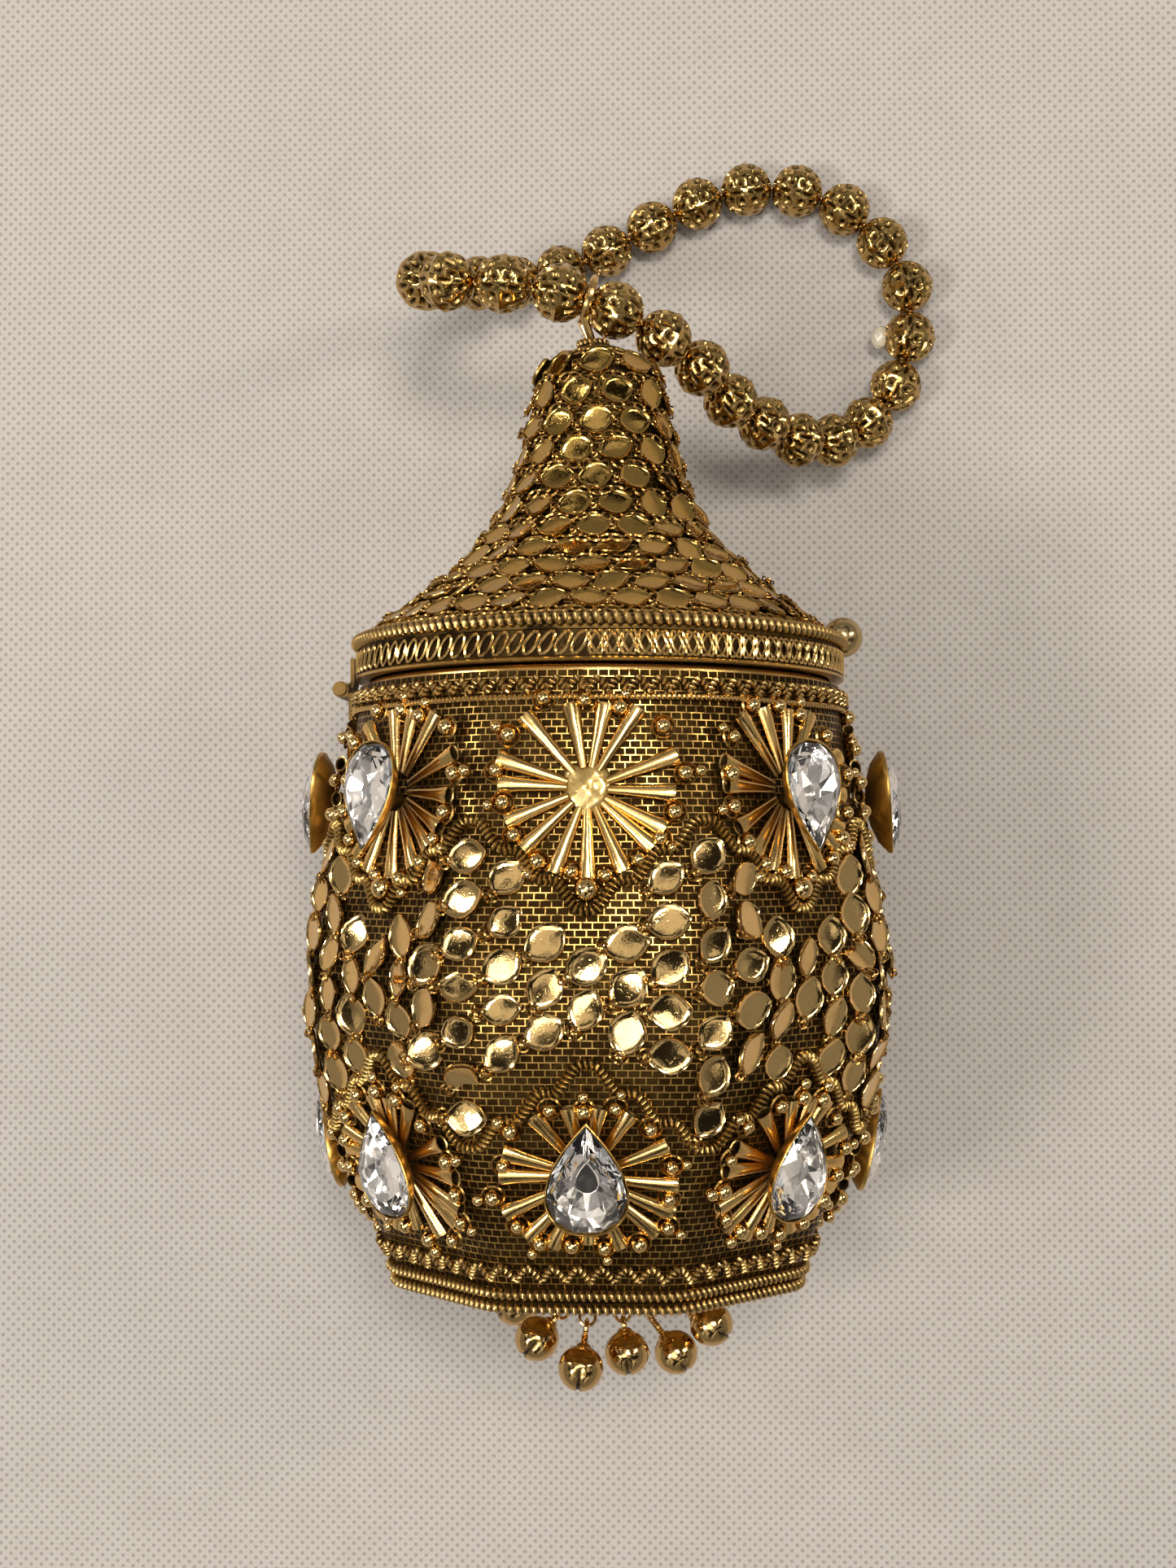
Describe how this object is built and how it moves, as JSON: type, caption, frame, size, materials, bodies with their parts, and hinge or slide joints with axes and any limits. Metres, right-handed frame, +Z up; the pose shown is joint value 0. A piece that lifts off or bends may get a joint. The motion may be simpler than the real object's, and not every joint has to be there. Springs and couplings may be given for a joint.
{
  "type": "evening bag",
  "caption": "Minaret-shaped gold metal evening bag with a hinged bell lid, ball clasp, pear crystals on raised cups, a filigree bead wrist loop and bells under the base; lies on its back.",
  "frame": {"origin": "centre of the bounding box's footprint, on the resting plane", "axes": "+Y along the bag from its base bells to the lid's top and the loop, +Z up out of the bag's front, +X towards the clasp ball"},
  "size_m": [0.132, 0.2572, 0.1148],
  "materials": {
    "antique_gold": "antique gold plate, polished high spots over dark recesses",
    "dark_gold": "dark antique gold, open-backed cups",
    "matte_brass": "brushed matte brass",
    "filigree_gold": null,
    "crystal": "clear faceted crystal with a mirrored back",
    "satin_lining": "satin lining cloth",
    "dried_glue": "dried amber glue with gold dust"
  },
  "bodies": {
    "body": {"body_shell": "antique_gold", "base_plate": "antique_gold", "mouth_frame": "antique_gold", "mouth_trim": "antique_gold", "base_trim": "antique_gold", "base_boss": "antique_gold", "hinge_leaf_body": "antique_gold", "hinge_pin": "antique_gold", "body_lining": "satin_lining", "glue_pad": "dried_glue", "stone_upper_front_right": "crystal", "cup_upper_front_right": "dark_gold", "stone_upper_right": "crystal", "cup_upper_right": "dark_gold", "stone_upper_back_right": "crystal", "cup_upper_back_right": "dark_gold", "stone_upper_back": "crystal", "cup_upper_back": "dark_gold", "stone_upper_back_left": "crystal", "cup_upper_back_left": "dark_gold", "stone_upper_left": "crystal", "cup_upper_left": "dark_gold", "stone_upper_front_left": "crystal", "cup_upper_front_left": "dark_gold", "stone_lower_front": "crystal", "cup_lower_front": "dark_gold", "stone_lower_front_right": "crystal", "cup_lower_front_right": "dark_gold", "stone_lower_right": "crystal", "cup_lower_right": "dark_gold", "stone_lower_back_right": "crystal", "cup_lower_back_right": "dark_gold", "stone_lower_back": "crystal", "cup_lower_back": "dark_gold", "stone_lower_back_left": "crystal", "cup_lower_back_left": "dark_gold", "stone_lower_left": "crystal", "cup_lower_left": "dark_gold", "stone_lower_front_left": "crystal", "cup_lower_front_left": "dark_gold"},
    "lid": {"lid_shell": "antique_gold", "lid_frame": "antique_gold", "lid_lining": "satin_lining", "hinge_leaf_lid": "antique_gold", "bail": "antique_gold", "bead_strand": "filigree_gold"},
    "clasp": {"clasp_tongue": "antique_gold", "clasp_ball": "matte_brass"},
    "bell_1_swing": {"bell_1": "antique_gold"},
    "bell_2_swing": {"bell_2": "antique_gold"},
    "bell_3_swing": {"bell_3": "antique_gold"},
    "bell_4_swing": {"bell_4": "antique_gold"},
    "bell_5_swing": {"bell_5": "antique_gold"},
    "bell_6_swing": {"bell_6": "antique_gold"}
  },
  "joints": [
    {"name": "lid_hinge", "type": "hinge", "parent": "body", "child": "lid", "pos_m": [-0.05, 0.0261, 0.0584], "axis": [0, 0, 1], "range_deg": [0, 100]},
    {"name": "clasp_press", "type": "hinge", "parent": "lid", "child": "clasp", "pos_m": [0.0435, 0.0361, 0.0584], "axis": [0, 0, -1], "range_deg": [0, 5], "stiffness_Nm_per_rad": 0.05},
    {"name": "bell_1_hang", "type": "hinge", "parent": "body", "child": "bell_1_swing", "pos_m": [-0.01019, -0.09202, 0.05252], "axis": [-0.464, 0.8858, 0], "range_deg": [-20, 20]},
    {"name": "bell_2_hang", "type": "hinge", "parent": "body", "child": "bell_2_swing", "pos_m": [-0.00817, -0.09483, 0.0627], "axis": [-0.7291, 0.6844, 0], "range_deg": [-20, 20]},
    {"name": "bell_3_hang", "type": "hinge", "parent": "body", "child": "bell_3_swing", "pos_m": [-0.00217, -0.09555, 0.06703], "axis": [-0.9919, 0.1269, 0], "range_deg": [-20, 20]},
    {"name": "bell_4_hang", "type": "hinge", "parent": "body", "child": "bell_4_swing", "pos_m": [0.00476, -0.09568, 0.06276], "axis": [-0.994, -0.1089, 0], "range_deg": [-20, 20]},
    {"name": "bell_5_hang", "type": "hinge", "parent": "body", "child": "bell_5_swing", "pos_m": [0.00865, -0.095, 0.05551], "axis": [-0.8165, -0.5773, 0], "range_deg": [-8, 20]},
    {"name": "bell_6_hang", "type": "hinge", "parent": "body", "child": "bell_6_swing", "pos_m": [0.01149, -0.09213, 0.05626], "axis": [-0.4921, -0.8706, 0], "range_deg": [-8, 20]}
  ]
}
